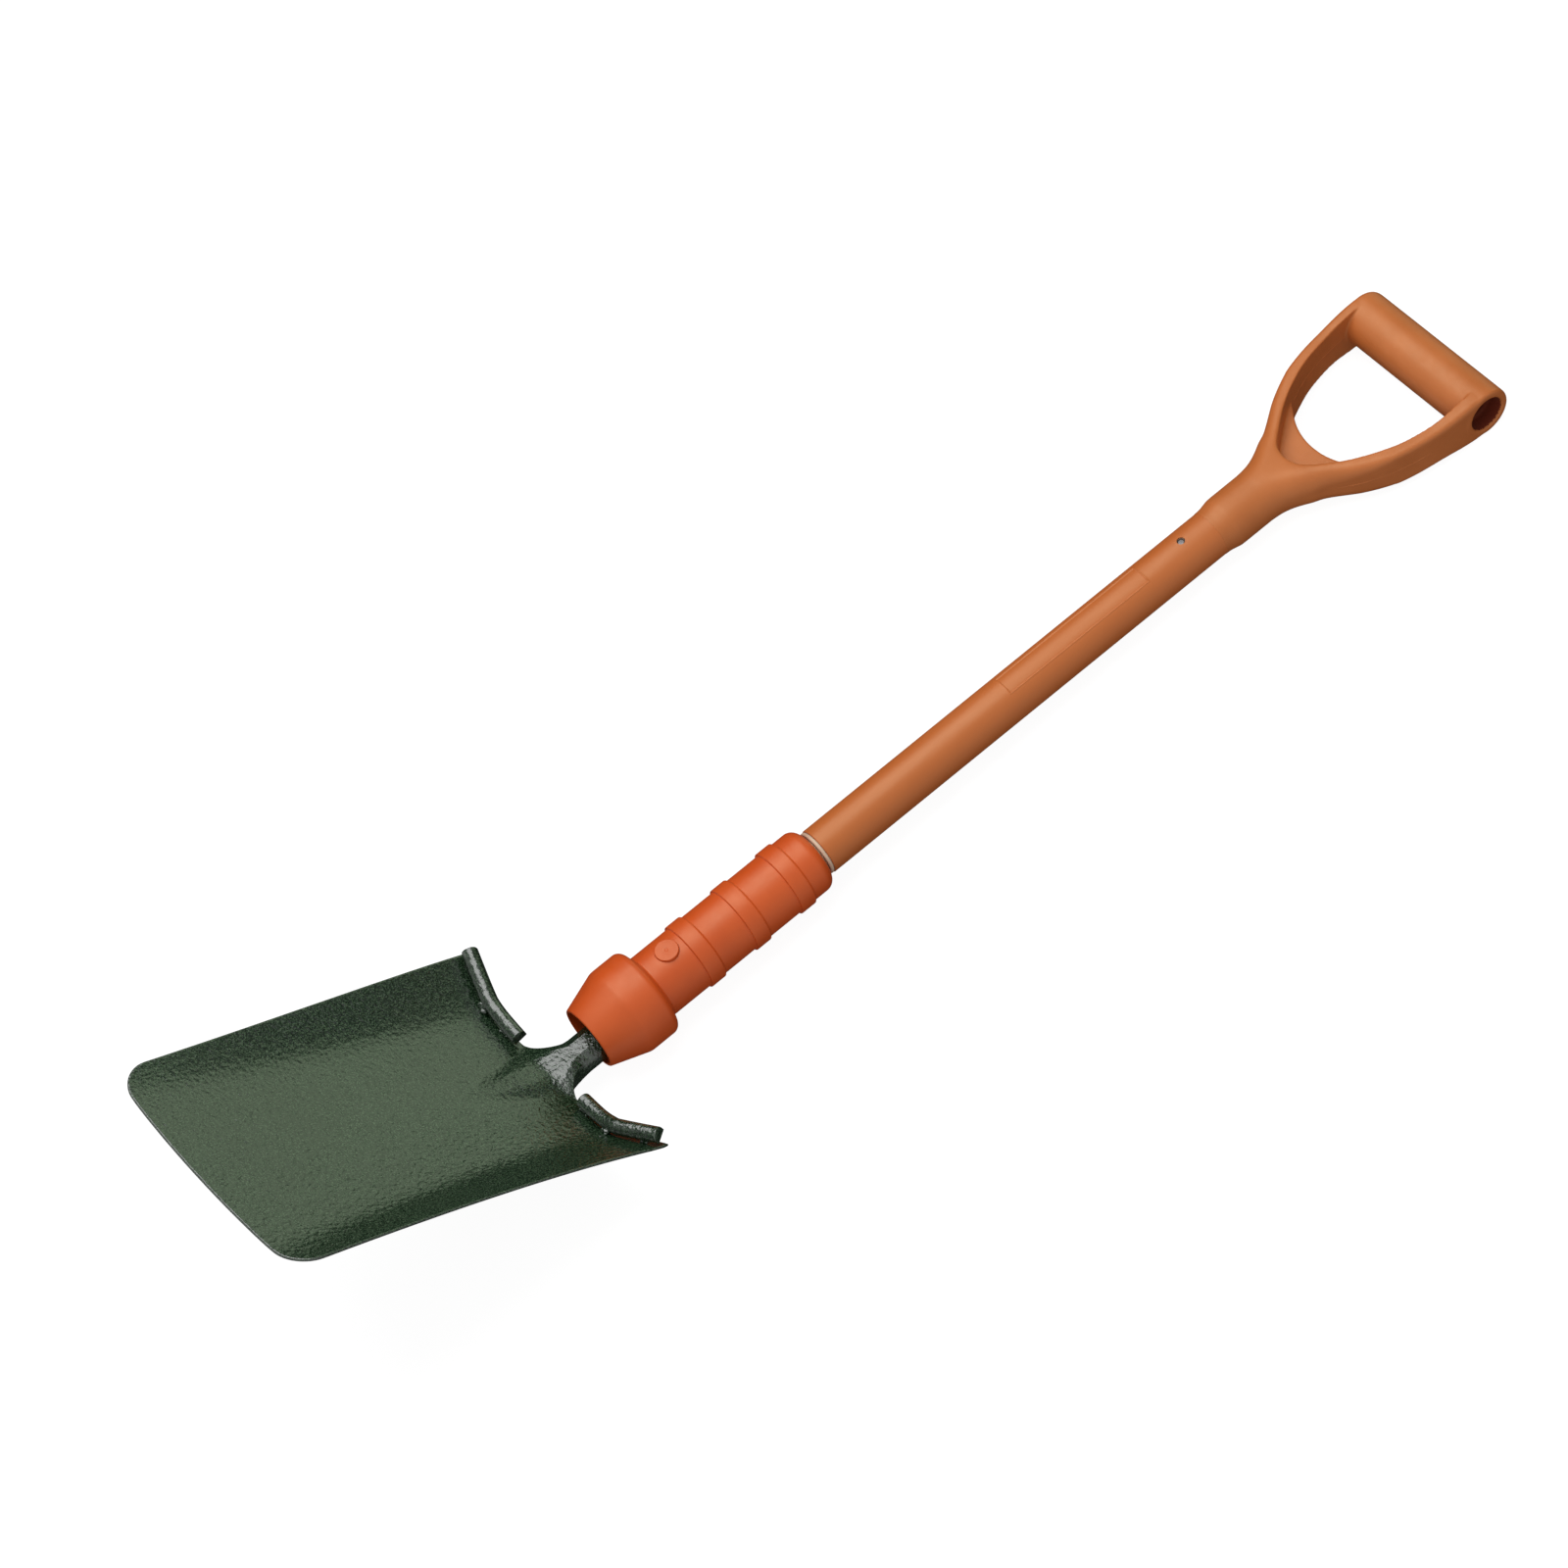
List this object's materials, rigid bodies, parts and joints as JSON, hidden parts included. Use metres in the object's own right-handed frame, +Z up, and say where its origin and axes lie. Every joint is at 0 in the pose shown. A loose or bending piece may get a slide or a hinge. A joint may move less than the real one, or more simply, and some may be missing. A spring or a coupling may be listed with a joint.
{
  "type": "insulated digging shovel",
  "caption": "Square-mouth digging shovel with a dished green steel blade, welded foot treads, a ribbed orange insulating boot, a sheathed shaft and a D handle.",
  "frame": {"origin": "bottom centre of the bounding box of the shovel as it lies on flat ground, blade facing up, on its boot's flange and its cross grip", "axes": "+X along the shaft towards the D handle (tilted 1.1 degrees down to the handle, as it lies); +Z up, out of the blade's face; +Y across the blade"},
  "size_m": [1.0858, 0.2224, 0.2126],
  "materials": {
    "boot_polymer": "satin moulded polymer",
    "shaft_polymer": "satin moulded polymer",
    "green_paint": "hammered powder coat",
    "pale_layer": "satin",
    "glass_fibre": "pultruded, fibrous",
    "foam": "closed-cell foam",
    "steel": "bare"
  },
  "bodies": {
    "root": {"shovel_head": "green_paint", "tread_left": "green_paint", "tread_right": "green_paint", "tread_weld_left": "green_paint", "tread_weld_right": "green_paint", "tread_tack_inner_left": "green_paint", "tread_tack_inner_right": "green_paint", "tread_tack_outer_left": "green_paint", "tread_tack_outer_right": "green_paint", "insulating_boot": "boot_polymer", "boot_plug": "boot_polymer", "shaft_sheath": "shaft_polymer", "inner_sleeve": "pale_layer", "shaft_core": "glass_fibre", "foam_core": "foam", "d_handle": "shaft_polymer", "handle_pin": "steel", "socket_rivet_lower": "steel", "socket_rivet_upper": "steel"}
  },
  "joints": []
}
